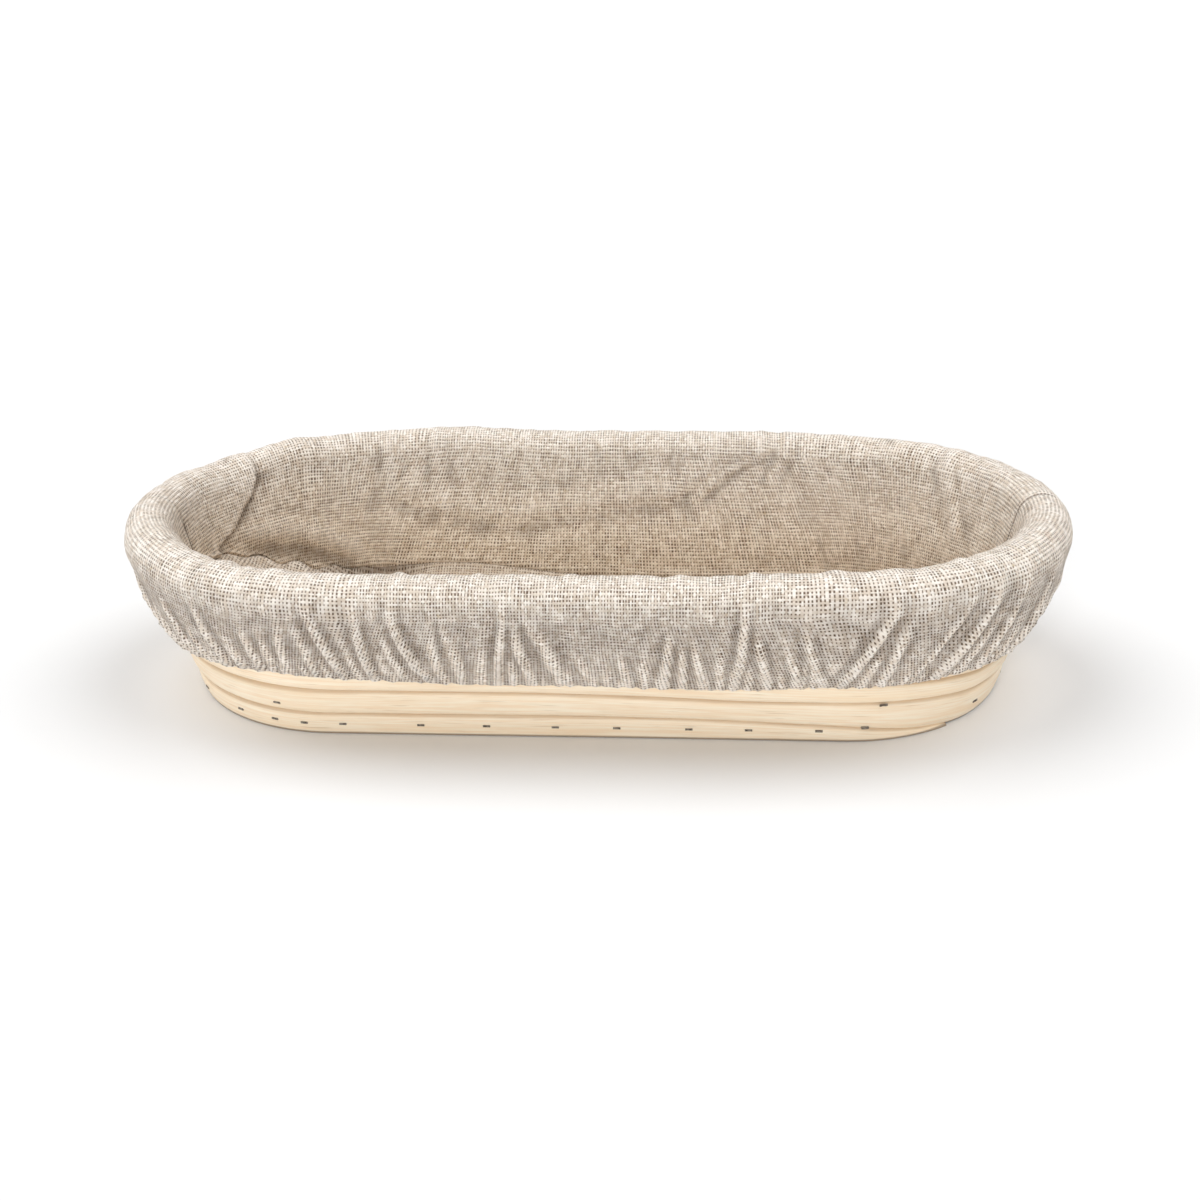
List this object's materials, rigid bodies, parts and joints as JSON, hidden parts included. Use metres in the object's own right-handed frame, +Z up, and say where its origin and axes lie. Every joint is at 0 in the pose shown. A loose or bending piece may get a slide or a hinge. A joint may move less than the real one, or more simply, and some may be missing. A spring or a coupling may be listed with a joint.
{
  "type": "proofing basket",
  "caption": "Oblong wound-cane proofing basket, stapled turn to turn, with a lift-out linen liner gathered over the rim by an elastic hem.",
  "frame": {"origin": "middle of the underside", "axes": "+X along the basket, -Y the front that the picture shows, +Z up"},
  "size_m": [0.3494, 0.1654, 0.0674],
  "materials": {
    "cane": "peeled rattan, unvarnished",
    "staple_wire": "dull galvanised wire",
    "linen": "undyed linen, coarse plain weave",
    "elastic": "braided flat elastic"
  },
  "bodies": {
    "basket": {"base_core": "cane", "base_coil": "cane", "lower_wall_cane": "cane", "middle_wall_cane": "cane", "rim_cane": "cane", "base_staples": "staple_wire", "foot_staples": "staple_wire", "lower_wall_staples": "staple_wire", "middle_wall_staples": "staple_wire", "rim_staples": "staple_wire", "toe_staples": "staple_wire"},
    "liner": {"liner_floor": "linen", "liner_front_panel": "linen", "liner_back_panel": "linen", "hem_elastic": "elastic"}
  },
  "joints": [
    {"name": "liner_lift", "type": "slide", "parent": "basket", "child": "liner", "axis": [0, 0, 1], "range_m": [0, 0.075], "deforming": ["liner_front_panel", "liner_back_panel", "hem_elastic"]}
  ]
}
